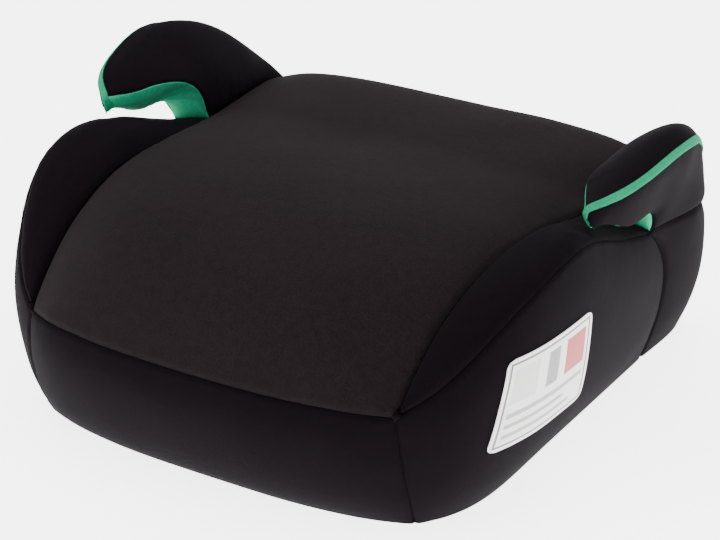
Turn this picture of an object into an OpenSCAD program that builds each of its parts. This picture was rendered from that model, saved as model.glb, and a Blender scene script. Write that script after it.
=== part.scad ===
// Backless booster seat: a moulded shell and base plate, two armrest horns that hold the lap belt down,
// foam pads, and a sewn cover of separate cloth panels with a green band and green belt guide linings.
// +Z is up, the front faces -Y, and the origin is under the middle of the seat at floor level.

/* [Seat] */
// Height of the front seam, where the seat panel meets the front panel
front_h = 85; // [78:1:92]
// Height of the highest point of the seat panel's side seams
seat_h = 141; // [132:1:150]
// Half width of the seat panel at the front corners
corner_x = 134; // [126:1:142]
// How far the seat panel crowns above its seams
seat_crown = 12; // [6:1:16]

/* [Sides] */
// Height of the bolster's crest under the armrest tip
crest_h = 154; // [148:1:160]
// Half width over the bolster's crest
crest_x = 191; // [180:1:194]
// Half width of the foot of the side panels
foot_x = 165; // [158:1:170]

/* [Armrests] */
// Height of the green band at the top of the armrest
arm_h = 186; // [182:1:196]
// Half width over the green band
arm_x = 211; // [204:1:214]
// Width of the green band
band_w = 7; // [5:0.5:9]

/* [Shell] */
// Wall of the moulded shell
wall = 3; // [2.5:0.5:4]
// Underside height of the shell's flat deck
deck_h = 116; // [108:1:118]
// Thickness of the base plate
plate_t = 3; // [2:0.5:4]

/* [Cover] */
// Thickness of the laminated cover cloth
cloth_t = 2.5; // [1.5:0.5:3.5]

/* [Hidden] */

// ---- Seam lines of the right half; the left half is their mirror image. ----
// tag() adds a fourth number to each point of a seam: 0 on the seat's body, 1 on the armrest. It changes
// from one end of the seam to the other, and a higher lag leaves most of the change to the last points.

function tag(list, from, to, lag = 1) =
    [for (i = [0:len(list) - 1]) concat(list[i], from + (to - from) * pow(i / (len(list) - 1), lag))];

corner = [corner_x, -166, front_h - 3];
throat_in = [152, 63, seat_h - 11];
throat_out = [crest_x - 2, 72, crest_h - 36];
rear_corner = [148, 174, 112];
arm_tip = [180, -19, 168];
arm_tip_low = [186, -15, 153];

seat_seam_front = tag([corner, [136, -137, seat_h - 30], [138, -100, seat_h - 10], [141, -54, seat_h],
                       [145, 6, seat_h - 3], throat_in], 0, 0.6);
seat_seam_rear = tag([throat_in, [153, 106, seat_h - 10], [155, 136, seat_h - 10], [154, 157,
    seat_h - 11], [152, 168, seat_h - 18],
                      rear_corner], 0.6, 0, 4);
side_seam = tag([corner, [150, -155, front_h + 8], [165, -137, front_h + 25], [177, -113, crest_h - 24],
                 [crest_x - 4, -84, crest_h - 8], [crest_x, -49, crest_h], [crest_x - 1, -18,
                     crest_h - 4],
                 [crest_x - 2, 26, crest_h - 22], throat_out], 0, 0.6);
front_seam = tag([[0, -189, front_h], [60, -187, front_h], [100, -181, front_h], [122, -174, front_h - 2],
                  corner], 0, 0);
corner_seam = tag([corner, [137, -166, 64], [139, -163, 42], [140, -157, 20], [138, -148, 0]], 0, 0);
front_foot = tag([[0, -166, 0], [60, -165, 0], [110, -158, 0], [138, -148, 0]], 0, 0);
side_foot = tag([[138, -148, 0], [155, -125, 0], [foot_x - 2, -89, 0], [foot_x, -29, 0],
    [foot_x + 3, 56, 0],
                 [foot_x + 5, 114, 0]], 0, 0);
corner_foot = tag([[foot_x + 5, 114, 0], [foot_x + 8, 151, 0], [foot_x + 7, 175, 0], [164, 186, 0],
    [144, 188, 0]], 0, 0);
rear_foot = tag([[0, 188, 0], [70, 188, 0], [144, 188, 0]], 0, 0);
rear_side_seam = tag([throat_out, [crest_x - 2, 88, 103], [crest_x - 2, 100, 83], [crest_x - 5, 107, 60],
                      [crest_x - 11, 112, 32], [foot_x + 5, 114, 0]], 0.6, 0);
rear_corner_seam = tag([rear_corner, [149, 182, 78], [148, 187, 42], [144, 188, 0]], 0, 0);
rear_top_seam = tag([[0, 180, 119], [80, 179, 119], [128, 177, 117], rear_corner], 0, 0);
band_line = tag([arm_tip, [190, -14, 172], [201, 3, 177], [207, 24, arm_h - 5], [arm_x, 51, arm_h],
                 [arm_x + 1, 80, arm_h - 1], [arm_x - 6, 105, arm_h - 11], [198, 129, 158], [186,
                     148, 140],
                 [168, 165, 123], rear_corner], 1, 0, 5);
lining_inner = tag([arm_tip, [170, 2, 166], [163, 18, 167], [158, 35, 165], [155, 50, 159], [153,
    60, 147],
                    throat_in], 1, 0.6, 4);
lining_outer = tag([arm_tip_low, [189, 6, 153], [191, 32, 147], [191, 52, 141], [191, 67, 131],
    throat_out],
                   1, 0.6, 4);
shoulder_line = tag([throat_out, [195, 106, 117], [195, 137, 115], [182, 162, 113], rear_corner], 0.6, 0);
tip_edge = tag([arm_tip_low, [182, -19, 161], arm_tip], 1, 1);
throat_sill = tag([throat_in, [170, 68, 125], throat_out], 0.6, 0.6);

// ---- Curves and patches ----

function unit(v) = v / max(norm(v), 1e-9);
function mix(a, b, t) = a * (1 - t) + b * t;
function clamp(x, lo, hi) = min(max(x, lo), hi);
function ease(t) = let (c = clamp(t, 0, 1)) c * c * (3 - 2 * c);
function flip(list) = [for (i = [len(list) - 1:-1:0]) list[i]];
function tail(list) = [for (i = [1:len(list) - 1]) list[i]];
function mirrored(list) = [for (p = list) [-p.x, p.y, p.z, p[3]]];
function flat(grid) = [for (row = grid) for (p = row) p];
function xyz(p) = [p.x, p.y, p.z];

// A point on the smooth curve through the points p, at t from 0 to 1.
function on_curve(p, t) =
    let (n = len(p) - 1, s = min(floor(t * n), n - 1), f = t * n - s,
         a = p[max(s - 1, 0)], b = p[s], c = p[s + 1], d = p[min(s + 2, n)])
    0.5 * (2 * b + (c - a) * f + (2 * a - 5 * b + 4 * c - d) * f * f + (3 * b - a - 3 * c + d) * f * f * f);

// Running length along a list of points, and the point at a given length.
function run_of(q, i = 0, so_far = [0]) =
    i >= len(q) - 1 ? so_far : run_of(q, i + 1, concat(so_far, so_far[i] + norm(q[i + 1] - q[i])));
function at_length(q, run, target, i = 0) =
    i >= len(q) - 2 || run[i + 1] >= target
        ? mix(q[i], q[i + 1], clamp((target - run[i]) / max(run[i + 1] - run[i], 1e-9), 0, 1))
        : at_length(q, run, target, i + 1);

// n + 1 points evenly spaced along the smooth curve through p.
curve_steps = 60;
function even(p, n) =
    let (q = [for (k = [0:curve_steps]) on_curve(p, k / curve_steps)], run = run_of(q))
    [for (k = [0:n]) k == 0 ? p[0] : k == n ? p[len(p) - 1] : at_length(q, run,
        run[curve_steps] * k / n)];
function repeated(p, n) = [for (j = [0:n]) p];

// The surface spanned by four edges: low and high run along the rows, first and last run across them.
function span(low, high, first, last) =
    let (nu = len(low) - 1, nv = len(first) - 1)
    [for (i = [0:nu]) let (u = i / nu) [for (j = [0:nv]) let (v = j / nv)
        mix(low[i], high[i], v) + mix(first[j], last[j], u)
            - mix(mix(low[0], low[nu], u), mix(high[0], high[nu], u), v)]];

function normal_at(g, i, j) =
    let (nu = len(g) - 1, nv = len(g[0]) - 1)
    unit(cross(xyz(g[min(i + 1, nu)][j] - g[max(i - 1, 0)][j]), xyz(g[i][min(j + 1,
        nv)] - g[i][max(j - 1, 0)])));

// The same surface filled out along its normals by rise, tapering to nothing at its edges.
function fullness(i, n) = 1 - pow(2 * i / n - 1, 4);
// With fade, the fullness dies away towards the last rows, and with lean towards the last columns.
function plump(g, rise, fade = 0, lean = 0) =
    let (nu = len(g) - 1, nv = len(g[0]) - 1)
    [for (i = [0:nu]) let (share = rise * fullness(i, nu) * (1 - fade * ease((i / nu - 0.5) / 0.45)))
        [for (j = [0:nv]) g[i][j] + concat(normal_at(g, i, j), 0) * share * fullness(j,
            nv) * (1 - lean * j / nv)]];

// A grid whose edge runs into a point, with that end cut off short of it.
function rows_to(g, last) = [for (i = [0:last]) g[i]];
function blunt_end(g, share) = let (n = len(g) - 1) [for (i = [0:n]) i < n ? g[i] : mix(g[n - 1],
    g[n], share)];
function blunt_start(g, share) = [for (i = [0:len(g) - 1]) i > 0 ? g[i] : mix(g[1], g[0], share)];

// The point at shares u and v of a grid's rows and columns.
function sample(g, u, v) =
    let (nu = len(g) - 1, nv = len(g[0]) - 1, i = min(floor(u * nu), nu - 1),
        j = min(floor(v * nv), nv - 1),
         a = u * nu - i, b = v * nv - j)
    mix(mix(g[i][j], g[i + 1][j], a), mix(g[i][j + 1], g[i + 1][j + 1], a), b);

// ---- Inwards from the surface: towards the middle of the seat's body, or the middle of the armrest. ----

function body_middle(p) = [clamp(p.x, -140, 140), clamp(p.y, -134, 151), clamp(p.z, 30, 75)];
arm_spine = [[184, -8, 162], [191, 16, 165], [192, 46, 166], [190, 76, 158], [186, 106, 146], [170,
    138, 130]];
function spine_point(y) =
    [lookup(y, [for (s = arm_spine) [s.y, s.x]]), y, lookup(y, [for (s = arm_spine) [s.y, s.z]])];
function arm_middle(p) =
    let (s = spine_point(lookup(p.y, [[-19, 2], [30, 37], [52, 64], [63, 91], [116, 111], [171, 136]])))
    [p.x < 0 ? -s.x : s.x, s.y, s.z];
function inwards(p, t) = xyz(p) + t * unit(mix(body_middle(p), arm_middle(p), p[3]) - xyz(p));
function sunk(g, t) = [for (row = g) [for (p = row) concat(inwards(p, t), p[3])]];

// The grid drawn in from its edges by gap, so that sewn pieces meet without sharing a face.
seam_gap = 0.15;
function drawn_in(g, gap) =
    let (nu = len(g) - 1, nv = len(g[0]) - 1)
    [for (i = [0:nu]) [for (j = [0:nv])
        let (k = i == 0 ? 1 : i == nu ? nu - 1 : i, l = j == 0 ? 1 : j == nv ? nv - 1 : j)
        g[i][j] + gap * unit(g[k][l] - g[i][j])]];

// ---- A closed solid between an outer and an inner grid of the same size ----

function quad(a, b, c, d) = [[a, b, c], [a, c, d]];
function sheet_faces(nu, nv, base, turn) =
    [for (i = [0:nu - 1]) for (j = [0:nv - 1])
        let (a = base + i * (nv + 1) + j, b = a + nv + 1)
        each turn ? quad(a, a + 1, b + 1, b) : quad(a, b, b + 1, a + 1)];
function rim_faces(nu, nv) =
    let (m = (nu + 1) * (nv + 1), w = nv + 1)
    [for (i = [0:nu - 1]) each concat(quad(i * w, i * w + m, (i + 1) * w + m, (i + 1) * w),
                                      quad(i * w + nv, (i + 1) * w + nv, (i + 1) * w + nv + m,
                                          i * w + nv + m)),
     for (j = [0:nv - 1]) each concat(quad(j, j + 1, j + 1 + m, j + m),
                                      quad(nu * w + j, nu * w + j + m, nu * w + j + 1 + m,
                                          nu * w + j + 1))];
module between(outer, inner) {
    nu = len(outer) - 1;
    nv = len(outer[0]) - 1;
    points = [for (p = concat(flat(outer), flat(inner))) xyz(p)];
    faces = concat(sheet_faces(nu, nv, 0, true), sheet_faces(nu, nv, (nu + 1) * (nv + 1), false),
        flip_all(rim_faces(nu, nv)));
    polyhedron(points = points, faces = sound(faces, points), convexity = 8);
}
function sound(faces, p) = [for (f = faces)
    if (min(norm(p[f[0]] - p[f[1]]), norm(p[f[1]] - p[f[2]]), norm(p[f[0]] - p[f[2]])) > 1e-5) f];
function flip_all(faces) = [for (f = faces) flip(f)];

// A layer of a panel from depth a to depth b below its outer face.
module layer(g, a, b) {
    drawn = drawn_in(g, seam_gap);
    between(sunk(drawn, a), sunk(drawn, b));
}
module on_side(side) mirror([side == "left" ? 1 : 0, 0, 0]) children();

// ---- Panels, as grids of points on the cover's outer face ----

function half_to_full(p) = concat(flip(mirrored(p)), tail(p));
rows = 12;
drop = 6;

seat_side = concat(even(seat_seam_front, 10), tail(even(seat_seam_rear, 8)));
seat_grid = plump(span(seat_side, mirrored(seat_side), flip(half_to_full(even(front_seam, 6))),
                       flip(half_to_full(even(rear_top_seam, 6)))), seat_crown);
front_grid = plump(span(half_to_full(even(front_foot, 6)), half_to_full(even(front_seam, 6)),
                        flip(mirrored(even(corner_seam, drop))), flip(even(corner_seam, drop))), 8);
back_grid = plump(span(flip(half_to_full(even(rear_foot, 6))), flip(half_to_full(even(rear_top_seam, 6))),
                       flip(even(rear_corner_seam, drop)), flip(mirrored(even(rear_corner_seam,
                           drop)))), 5);
bolster_grid = blunt_start(plump(span(even(side_seam, rows), even(seat_seam_front, rows),
    repeated(side_seam[0], 5),
                                     even(flip(throat_sill), 5)), 5, 0.9), 0.7);
side_grid = plump(span(even(side_foot, rows), even(side_seam, rows), flip(even(corner_seam, drop)),
                       flip(even(rear_side_seam, drop))), 10);
rear_side_grid = plump(span(even(corner_foot, 8), even(shoulder_line, 8), flip(even(rear_side_seam,
    drop)),
                            flip(even(rear_corner_seam, drop))), 3);
arm_inner_grid = blunt_end(plump(span(even(band_line, 14), even(seat_seam_rear, 14),
    even(lining_inner, 8),
                                      repeated(band_line[10], 8)), 15, 0.8, 0.6), 0.3);
under_line = concat(even(lining_outer, 8), tail(even(shoulder_line, 8)));
arm_outer_grid = rows_to(plump(span(under_line, even(band_line, 16), even(tip_edge, 5),
                                      repeated(band_line[10], 5)), 4), 14);
lining_grid = span(even(lining_inner, 10), even(lining_outer, 10), flip(even(tip_edge, 4)),
    even(throat_sill, 4));

// ---- Moulded shell, base plate and their screws ----

// Height of the shell's outer face at x, y: flat in the middle, rolling down at the front and the rear.
mid_y = 6;
function deck_roll(y) = -48 * pow(max(-54 - y, 0) / 112, 2.2) - 30 * pow(max(y - 116, 0) / 62, 2);
function bolster_rise(x, y) = 9 * ease((abs(x) - 128) / 30) * ease((y + 114) / 50) * ease((86 - y) / 40);
function deck_at(x, y) = deck_h + wall + deck_roll(y) + bolster_rise(x, y);

// A rounded square outline about the middle of the seat, with half sizes hx and hy.
shell_sides = 56;
function outline(hx, hy, squareness = 5) =
    [for (k = [0:shell_sides - 1])
        let (c = cos(k * 360 / shell_sides), s = sin(k * 360 / shell_sides),
             r = pow(pow(abs(c), squareness) + pow(abs(s), squareness), -1 / squareness))
        [hx * c * r, hy * s * r]];

// Levels of the wall as height and half sizes, then shares of the deck from its rim to its middle.
wall_levels = [[5, 153, 162], [14, 158, 164], [45, 163, 166], [66, 164, 164]];
deck_shares = [[0.985, 9], [0.94, 2.5], [0.86, 0], [0.74, 0], [0.5, 0], [0.25, 0], [0.02, 0]];
deck_half = [165, 163];
module shell_form(inset) {
    levels = inset > 0 ? concat([[0, wall_levels[0][1], wall_levels[0][2]]], wall_levels) : wall_levels;
    rings = concat([for (l = levels) [for (o = outline(l[1] - inset, l[2] - inset)) [o.x,
        o.y + mid_y, l[0]]]],
                   [for (d = deck_shares) [for (o = outline(deck_half.x - inset,
                       deck_half.y - inset) * d[0])
                       [o.x, o.y + mid_y, deck_at(o.x, o.y + mid_y) - inset - d[1]]]]);
    n = shell_sides;
    top = len(rings) - 1;
    walls = [for (i = [0:top - 1]) for (k = [0:n - 1]) let (a = i * n + k, b = i * n + (k + 1) % n)
                each quad(a, a + n, b + n, b)];
    polyhedron(points = flat(rings), faces = concat(walls, [[for (k = [0:n - 1]) k]],
        [[for (k = [n - 1:-1:0]) top * n + k]]),
               convexity = 6);
}

screw_spots = [for (x = [-105, 0, 105]) for (y = [-110, 110]) [x, mid_y + y]];
screw_r = 2;
screw_len = 22;
boss_r = 6;
boss_gap = 0.4;
arm_screw_spots = [[126, 98], [126, 120]];
arm_screw_r = 2.5;
flange_z = deck_h + wall + 0.4;
flange_t = 4;

module seat_shell() color([0.12, 0.12, 0.13]) difference() {
    union() {
        difference() {
            shell_form(0);
            shell_form(wall);
        }
        for (s = screw_spots) translate([s.x, s.y, plate_t + boss_gap])
            cylinder(h = deck_at(s.x, s.y) - wall - plate_t - boss_gap + 1, r = boss_r, $fn = 40);
        for (x = [-52, 52]) translate([x - 1, mid_y - 110, 70]) cube([2, 220, 34]);
    }
    for (s = screw_spots) translate([s.x, s.y, 0]) cylinder(h = screw_len + 6, r = screw_r + 0.05,
        $fn = 32);
    for (side = [-1, 1]) for (s = arm_screw_spots) translate([side * s.x, s.y, deck_h - 10])
        cylinder(h = 30, r = arm_screw_r + 0.2, $fn = 32);
}

plate_half = [142, 149];
sticker = [64, 38, 0.3];
module base_plate() color([0.16, 0.16, 0.17]) difference() {
    union() {
        translate([0, mid_y, 0]) linear_extrude(plate_t) polygon(outline(plate_half.x, plate_half.y, 4));
        for (x = [-70:35:70]) translate([x - 1, mid_y - 95, plate_t - 0.5]) cube([2, 190, 6.5]);
        for (y = [-95:38:95]) translate([-71, mid_y + y - 1, plate_t - 0.5]) cube([142, 2, 6.5]);
    }
    for (s = screw_spots) {
        translate([s.x, s.y, -1]) cylinder(h = 20, r = screw_r + 0.3, $fn = 32);
        translate([s.x, s.y, -1]) cylinder(h = 2.6, r = 4.6, $fn = 40);
        translate([s.x, s.y, plate_t]) cylinder(h = 10, r = boss_r + 1, $fn = 40);
    }
    translate([-sticker.x / 2 - 0.5, mid_y - sticker.y / 2 - 0.5, -1]) cube([sticker.x + 1,
        sticker.y + 1, 1.6]);
}
module approval_sticker() color([0.9, 0.55, 0.2])
    translate([-sticker.x / 2, mid_y - sticker.y / 2, 0.6 - sticker.z]) cube(sticker);
module base_plate_screws() color([0.6, 0.6, 0.62]) for (s = screw_spots) translate([s.x, s.y,
    0.3]) difference() {
    union() {
        cylinder(h = 1.3, r = 4, $fn = 40);
        cylinder(h = screw_len, r = screw_r, $fn = 32);
    }
    for (a = [0, 90]) rotate(a) translate([-2, -0.4, -0.5]) cube([4, 0.8, 1.3]);
}

// ---- Armrest core, its screws and its foam sleeve ----

core_path = [[134, 109, 117], [152, 109, 119], [170, 107, 128], [182, 98, 144], [188, 76, 158],
    [189, 48, 166],
             [187, 22, 166.5], [184, 3, 164]];
core_radii = [6, 6.5, 8, 8.5, 8.5, 8, 7, 5];
module swept(path, radii, sides) {
    last = len(path) - 1;
    rings = [for (i = [0:last])
        let (d = unit(path[min(i + 1, last)] - path[max(i - 1, 0)]), a = unit(cross(d, [0, 0, 1])),
            b = cross(a, d))
        [for (k = [0:sides - 1])
            path[i] + radii[i] * (cos(k * 360 / sides) * a + sin(k * 360 / sides) * b)]];
    walls = [for (i = [0:last - 1]) for (k = [0:sides - 1])
        let (a = i * sides + k, b = i * sides + (k + 1) % sides) each quad(a, b, b + sides, a + sides)];
    polyhedron(points = flat(rings), faces = concat(walls, [[for (k = [sides - 1:-1:0]) k]],
        [[for (k = [0:sides - 1]) last * sides + k]]),
               convexity = 6);
}
module armrest_core(side) color([0.14, 0.14, 0.15]) on_side(side) difference() {
    union() {
        intersection() {
            swept(core_path, core_radii, 16);
            translate([100, -50, flange_z]) cube([150, 210, 100]);
        }
        translate([112, 88, flange_z]) cube([30, 42, flange_t]);
    }
    for (s = arm_screw_spots) translate([s.x, s.y, flange_z - 1]) {
        cylinder(h = 30, r = arm_screw_r + 0.2, $fn = 32);
        translate([0, 0, flange_t + 1]) cylinder(h = 30, r = 5.4, $fn = 40);
    }
}
module armrest_core_left() armrest_core("left");
module armrest_core_right() armrest_core("right");
module armrest_core_screws() color([0.6, 0.6, 0.62]) for (side = ["left",
    "right"]) on_side(side) for (s = arm_screw_spots) {
    translate([s.x, s.y, flange_z + flange_t]) cylinder(h = 2, r = 4.6, $fn = 40);
    translate([s.x, s.y, flange_z + flange_t - 18]) cylinder(h = 19, r = arm_screw_r, $fn = 32);
    translate([s.x, s.y, deck_h - 5.8]) cylinder(h = 4, r = 4.4, $fn = 6);
}
sleeve_first = 3;
module armrest_padding(side) color([0.85, 0.82, 0.6]) on_side(side) difference() {
    swept([for (i = [sleeve_first:len(core_path) - 1]) core_path[i] +
          (i == len(core_path) - 1 ? [1, -4, 1] : [0, 0, 0])],
          [for (i = [sleeve_first:len(core_path) - 1]) core_radii[i] +
                (i == len(core_path) - 1 ? 0 : 2.5)], 16);
    swept(core_path, core_radii * 1.04, 16);
}
module armrest_padding_left() armrest_padding("left");
module armrest_padding_right() armrest_padding("right");

// ---- Foam pads ----

foam_gap = 0.4;
foam_top = cloth_t + foam_gap;
pad_t = 6;
// The underside of the seat foam lies on the deck and clears the armrest flanges.
function foam_floor(p) =
    let (x = p.x * 0.95, y = mid_y + (p.y - mid_y) * 0.84,
         floor_z = deck_at(x, y) + 5 * foam_gap,
         relief = min(8 * ease((abs(x) - 94) / 10) * ease((y - 60) / 12), max(p.z - 3 - floor_z, 0)))
    [x, y, max(floor_z + relief, front_h + 2 + 8 * ease((y - 126) / 30)), 0];
module seat_foam() color([0.85, 0.82, 0.6]) {
    top = sunk(drawn_in(seat_grid, 1.5), foam_top);
    between(top, [for (row = top) [for (p = row) foam_floor(p)]]);
}
module bolster_foam(side) color([0.85, 0.82, 0.6]) on_side(side) layer(bolster_grid, foam_top,
    foam_top + pad_t);
module bolster_foam_left() bolster_foam("left");
module bolster_foam_right() bolster_foam("right");
module side_foam(side) color([0.85, 0.82, 0.6]) on_side(side) layer(side_grid, foam_top,
    foam_top + pad_t);
module side_foam_left() side_foam("left");
module side_foam_right() side_foam("right");
module front_foam() color([0.85, 0.82, 0.6]) layer(front_grid, foam_top, foam_top + pad_t);

// ---- Sewn cover ----

charcoal = [0.2, 0.17, 0.18];
green = [0.24, 0.67, 0.49];
module cover_seat_panel() color(charcoal * 1.2) layer(seat_grid, 0, cloth_t);
module cover_front_panel() color(charcoal) layer(front_grid, 0, cloth_t);
module cover_back_panel() color(charcoal) layer(back_grid, 0, cloth_t);
module cover_bolster(side) color(charcoal * 0.9) on_side(side) layer(bolster_grid, 0, cloth_t);
module cover_bolster_left() cover_bolster("left");
module cover_bolster_right() cover_bolster("right");
module cover_side(side) color(charcoal * 0.8) on_side(side) layer(side_grid, 0, cloth_t);
module cover_side_left() cover_side("left");
module cover_side_right() cover_side("right");
module cover_rear_side(side) color(charcoal * 0.75) on_side(side) layer(rear_side_grid, 0, cloth_t);
module cover_rear_side_left() cover_rear_side("left");
module cover_rear_side_right() cover_rear_side("right");
module armrest_inner_panel(side) color(charcoal) on_side(side) layer(arm_inner_grid, 0, cloth_t);
module armrest_inner_panel_left() armrest_inner_panel("left");
module armrest_inner_panel_right() armrest_inner_panel("right");
module armrest_outer_panel(side) color(charcoal * 0.9) on_side(side) layer(arm_outer_grid, 0, cloth_t);
module armrest_outer_panel_left() armrest_outer_panel("left");
module armrest_outer_panel_right() armrest_outer_panel("right");
module belt_guide_lining(side) color(green) on_side(side) layer(lining_grid, 0, cloth_t);
module belt_guide_lining_left() belt_guide_lining("left");
module belt_guide_lining_right() belt_guide_lining("right");

// The green band is a flat strip that stands on the armrest's edge, half on either side of its seam.
band_t = 1.6;
module armrest_band(side) color(green) on_side(side) {
    spine = even(band_line, 26);
    last = len(spine) - 1;
    rings = [for (i = [0:last])
        let (p = xyz(spine[i]), along = unit(xyz(spine[min(i + 1, last)]) - xyz(spine[max(i - 1, 0)])),
             out = unit(p - inwards(spine[i], 5)), across = unit(cross(along, out)),
             half = band_w / 2 * min(1, 0.35 + 0.3 * min(i, last - i)))
        [p + across * half + out * 1.6, p + across * half * 0.7 + out * (1 + band_t),
         p - across * half * 0.7 + out * (1 + band_t), p - across * half + out * 1.2, p + out * 0.6]];
    n = 5;
    walls = [for (i = [0:last - 1]) for (k = [0:n - 1]) let (a = i * n + k,
        b = i * n + (k + 1) % n) each quad(a, b, b + n, a + n)];
    polyhedron(points = flat(rings), faces = concat(walls, [[for (k = [n - 1:-1:0]) k]],
        [[for (k = [0:n - 1]) last * n + k]]),
               convexity = 8);
}
module armrest_band_left() armrest_band("left");
module armrest_band_right() armrest_band("right");

// The hem turns under the shell's rim, with a flat elastic sewn along its inner edge.
foot_line = concat(even(side_foot, 8), tail(even(corner_foot, 5)), tail(even(flip(rear_foot), 4)));
foot_loop = concat([for (p = even(front_foot, 5)) [p.x, p.y]], [for (p = tail(foot_line)) [p.x, p.y]]);
function inset_point(p, d) = [p.x - d * sign(p.x) * min(1, abs(p.x) / 120),
    p.y - d * sign(p.y) * min(1, abs(p.y) / 110)];
function loop_at(d) =
    let (half = [for (p = foot_loop) inset_point(p, d)])
    concat(half, [for (i = [len(half) - 2:-1:1]) [-half[i].x, half[i].y]]);
module ring_strip(outer, inner, z, t) translate([0, 0, z]) linear_extrude(t) difference() {
    polygon(loop_at(outer));
    polygon(loop_at(inner));
}
module cover_hem() color(charcoal * 0.8) ring_strip(3.2, 19, 0, cloth_t);
module hem_elastic() color([0.1, 0.1, 0.1]) ring_strip(14.5, 19, cloth_t + 0.2, 1);

// Hooks on the hem that catch the rim of the base plate.
clip = [16, 10, 1.6];
clip_lip = 1;
clip_out = 1.4;
module cover_clip() {
    translate([-clip.x / 2, clip_out - clip.y, plate_t + 0.2]) cube(clip);
    translate([-clip.x / 2, clip_out - clip_lip, 0.4]) cube([clip.x, clip_lip, plate_t]);
}
module cover_clips() color([0.1, 0.1, 0.1]) {
    for (y = [-40, 40]) for (side = [-1, 1]) translate([side * plate_half.x, mid_y + y, 0])
        rotate(-90 * side) cover_clip();
    for (x = [-40, 40]) for (side = [-1, 1]) translate([x, mid_y + side * plate_half.y, 0])
        rotate(side > 0 ? 0 : 180) cover_clip();
}

// A blank label sewn flat on the side panel, on the right-hand side only.
label_t = 0.6;
label_gap = 0.5;
label_corners = [[0.275, 0.855], [0.545, 0.715], [0.525, 0.28], [0.175, 0.455]];
module side_label() color([0.9, 0.9, 0.88]) {
    patch = [for (i = [0:6]) [for (j = [0:4])
        let (c = label_corners, s = mix(mix(c[3], c[2], i / 6), mix(c[0], c[1], i / 6),
            j / 4)) sample(side_grid, s.x, s.y)]];
    between(sunk(patch, -label_gap - label_t), sunk(patch, -label_gap));
}

seat_shell();
base_plate();
base_plate_screws();
armrest_core_left();
armrest_core_right();
armrest_core_screws();
armrest_padding_left();
armrest_padding_right();
seat_foam();
bolster_foam_left();
bolster_foam_right();
side_foam_left();
side_foam_right();
front_foam();
cover_seat_panel();
cover_front_panel();
cover_back_panel();
cover_bolster_left();
cover_bolster_right();
cover_side_left();
cover_side_right();
cover_rear_side_left();
cover_rear_side_right();
armrest_inner_panel_left();
armrest_inner_panel_right();
armrest_outer_panel_left();
armrest_outer_panel_right();
armrest_band_left();
armrest_band_right();
belt_guide_lining_left();
belt_guide_lining_right();
cover_hem();
hem_elastic();
cover_clips();
side_label();
approval_sticker();
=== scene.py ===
# A backless child booster seat: a charcoal cover sewn from cloth panels over foam and a moulded shell, with
# two armrests that hold the lap belt down, a green band along each of them and green belt guide linings.
import math

import bmesh
import bpy
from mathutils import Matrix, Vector, noise
from mathutils.bvhtree import BVHTree
from mathutils.kdtree import KDTree


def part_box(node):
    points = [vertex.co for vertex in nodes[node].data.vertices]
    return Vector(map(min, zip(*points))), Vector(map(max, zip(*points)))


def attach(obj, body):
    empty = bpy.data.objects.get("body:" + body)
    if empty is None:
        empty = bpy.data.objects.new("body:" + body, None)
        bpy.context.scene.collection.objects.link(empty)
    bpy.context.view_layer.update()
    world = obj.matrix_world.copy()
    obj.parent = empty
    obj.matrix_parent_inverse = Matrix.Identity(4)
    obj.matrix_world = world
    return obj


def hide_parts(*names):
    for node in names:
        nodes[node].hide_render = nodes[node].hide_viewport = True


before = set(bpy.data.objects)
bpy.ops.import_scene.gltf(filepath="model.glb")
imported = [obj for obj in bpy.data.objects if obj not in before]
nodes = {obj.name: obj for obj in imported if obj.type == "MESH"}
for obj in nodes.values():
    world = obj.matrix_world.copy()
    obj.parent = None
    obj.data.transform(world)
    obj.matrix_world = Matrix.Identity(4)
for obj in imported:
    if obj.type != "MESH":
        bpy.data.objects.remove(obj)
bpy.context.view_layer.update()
bpy.ops.object.select_all(action="DESELECT")

# ---- Camera, floor and light ----
# A pale floor that glows a little, like a light table, one broad soft light overhead, a window light from
# the front left and a low fill from the right. The camera looks down from the front right.
mm = 0.001
camera_place = Vector((661.1, -1095.2, 707.4)) * mm
camera_aim = Vector((138.4, -213.1, 199.4)) * mm
bpy.ops.object.camera_add(location=camera_place)
camera = bpy.context.object
camera.rotation_euler = (camera_aim - camera_place).to_track_quat("-Z", "Y").to_euler()
camera.data.lens = 106.3
camera.data.sensor_width = 36
camera.data.clip_end = 50
bpy.context.scene.camera = camera

bpy.ops.mesh.primitive_plane_add(size=12, location=(0, 0, 0))
floor = bpy.context.object
floor.name = "floor"
floor_paint = bpy.data.materials.new("pale_floor")
floor_paint.use_nodes = True
paint = floor_paint.node_tree.nodes["Principled BSDF"]
paint.inputs["Base Color"].default_value = (0.9, 0.9, 0.9, 1)
paint.inputs["Roughness"].default_value = 0.7
paint.inputs["Emission Color"].default_value = (1, 1, 1, 1)
paint.inputs["Emission Strength"].default_value = 4.0
floor.data.materials.append(floor_paint)


def softbox(name, place, aim, size, watts, tint=(1, 1, 1)):
    bpy.ops.object.light_add(type="AREA", location=place)
    lamp = bpy.context.object
    lamp.name = name
    lamp.rotation_euler = (Vector(aim) - Vector(place)).to_track_quat("-Z", "Y").to_euler()
    lamp.data.shape = "RECTANGLE"
    lamp.data.size, lamp.data.size_y = size
    lamp.data.energy = watts
    lamp.data.color = tint


softbox("overhead", (-0.2, 0.3, 1.9), (0, 0, 0.1), (1.9, 1.5), 40)
softbox("window", (-1.3, -1.3, 1.2), (0, 0, 0.1), (1.1, 1.1), 14)
softbox("fill", (1.8, -0.6, 0.8), (0.1, 0, 0.1), (1.2, 1.0), 9)
world = bpy.data.worlds.new("studio")
world.use_nodes = True
world.node_tree.nodes["Background"].inputs["Color"].default_value = (1, 1, 1, 1)
world.node_tree.nodes["Background"].inputs["Strength"].default_value = 1.1
bpy.context.scene.world = world

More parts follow.
